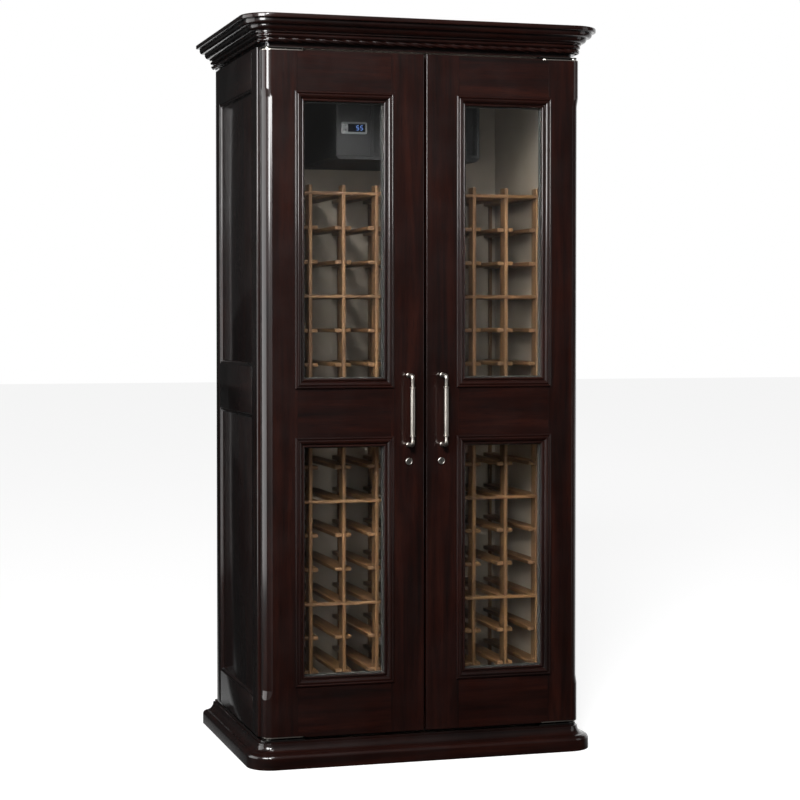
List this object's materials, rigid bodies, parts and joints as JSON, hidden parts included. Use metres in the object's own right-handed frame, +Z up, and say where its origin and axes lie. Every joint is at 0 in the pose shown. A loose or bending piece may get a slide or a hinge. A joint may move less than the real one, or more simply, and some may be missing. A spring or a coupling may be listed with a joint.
{
  "type": "wine cabinet",
  "caption": "Tall two-door wooden wine cabinet with glazed insulated doors, a moulded cornice and plinth, bottle racks and a cooling unit.",
  "frame": {"origin": "middle of the whole cabinet's box, on the floor that the plinth stands on", "axes": "+Z up, +Y towards the back of the cabinet, +X to the right of a person who faces the doors"},
  "size_m": [0.946, 0.659, 1.883],
  "materials": {
    "stained_mahogany": "dark cherry-mahogany stain under gloss lacquer",
    "rack_wood": "lightly oiled mahogany",
    "liner": "satin beige liner over foam",
    "insulating_glass": "clear double glazing",
    "satin_nickel": "satin nickel plate",
    "seal_rubber": "matt black",
    "cooler_housing": "fine textured charcoal",
    "control_face": "semi-gloss charcoal",
    "key_plastic": "grey moulded keys"
  },
  "bodies": {
    "root": {"plinth_moulding": "stained_mahogany", "cornice_moulding": "stained_mahogany", "rope_moulding": "stained_mahogany", "floor_panel": "liner", "ceiling_panel": "liner", "back_panel": "liner", "centre_mullion": "stained_mahogany", "cooling_housing": "cooler_housing", "control_panel": "control_face", "evaporator_grille": "cooler_housing", "insulated_wall_left": "liner", "insulated_wall_right": "liner", "side_frame_left": "stained_mahogany", "side_frame_right": "stained_mahogany", "side_panel_upper_left": "stained_mahogany", "side_panel_upper_right": "stained_mahogany", "side_panel_lower_left": "stained_mahogany", "side_panel_lower_right": "stained_mahogany", "pivot_plate_top_left": "satin_nickel", "pivot_plate_top_right": "satin_nickel", "pivot_plate_bottom_left": "satin_nickel", "pivot_plate_bottom_right": "satin_nickel", "rack_ladder_1": "rack_wood", "rack_ladder_2": "rack_wood", "rack_ladder_3": "rack_wood", "rack_ladder_4": "rack_wood", "rack_ladder_5": "rack_wood", "rack_ladder_6": "rack_wood", "rack_ladder_7": "rack_wood", "rack_ladder_8": "rack_wood", "rack_ladder_9": "rack_wood", "rack_crossbar_1": "rack_wood", "rack_crossbar_2": "rack_wood", "rack_crossbar_3": "rack_wood", "rack_crossbar_4": "rack_wood", "rack_crossbar_5": "rack_wood"},
    "door_left": {"hinge_leaf_top_left": "satin_nickel", "hinge_leaf_bottom_left": "satin_nickel", "door_frame_left": "stained_mahogany", "glazing_moulding_upper_left": "stained_mahogany", "glazing_moulding_lower_left": "stained_mahogany", "glass_upper_left": "insulating_glass", "glass_lower_left": "insulating_glass", "gasket_left": "seal_rubber", "handle_left": "satin_nickel"},
    "door_right": {"hinge_leaf_top_right": "satin_nickel", "hinge_leaf_bottom_right": "satin_nickel", "door_frame_right": "stained_mahogany", "glazing_moulding_upper_right": "stained_mahogany", "glazing_moulding_lower_right": "stained_mahogany", "glass_upper_right": "insulating_glass", "glass_lower_right": "insulating_glass", "gasket_right": "seal_rubber", "handle_right": "satin_nickel"},
    "lock_left": {"lock_left": "satin_nickel"},
    "lock_right": {"lock_right": "satin_nickel"},
    "key_up": {"key_up": "key_plastic"},
    "key_down": {"key_down": "key_plastic"}
  },
  "joints": [
    {"name": "door_left_hinge", "type": "hinge", "parent": "root", "child": "door_left", "pos_m": [-0.407, -0.2715, 0.9], "axis": [0, 0, -1], "range_deg": [0, 120]},
    {"name": "door_right_hinge", "type": "hinge", "parent": "root", "child": "door_right", "pos_m": [0.407, -0.2715, 0.9], "axis": [0, 0, 1], "range_deg": [0, 120]},
    {"name": "lock_left_turn", "type": "hinge", "parent": "door_left", "child": "lock_left", "pos_m": [-0.0433, -0.2855, 0.7645], "axis": [0, 1, 0], "range_deg": [0, 90]},
    {"name": "lock_right_turn", "type": "hinge", "parent": "door_right", "child": "lock_right", "pos_m": [0.0433, -0.2855, 0.7645], "axis": [0, -1, 0], "range_deg": [0, 90]},
    {"name": "key_up_press", "type": "slide", "parent": "root", "child": "key_up", "axis": [0, 1, 0], "range_m": [0, 0.001], "stiffness_N_per_m": 600},
    {"name": "key_down_press", "type": "slide", "parent": "root", "child": "key_down", "axis": [0, 1, 0], "range_m": [0, 0.001], "stiffness_N_per_m": 600}
  ]
}
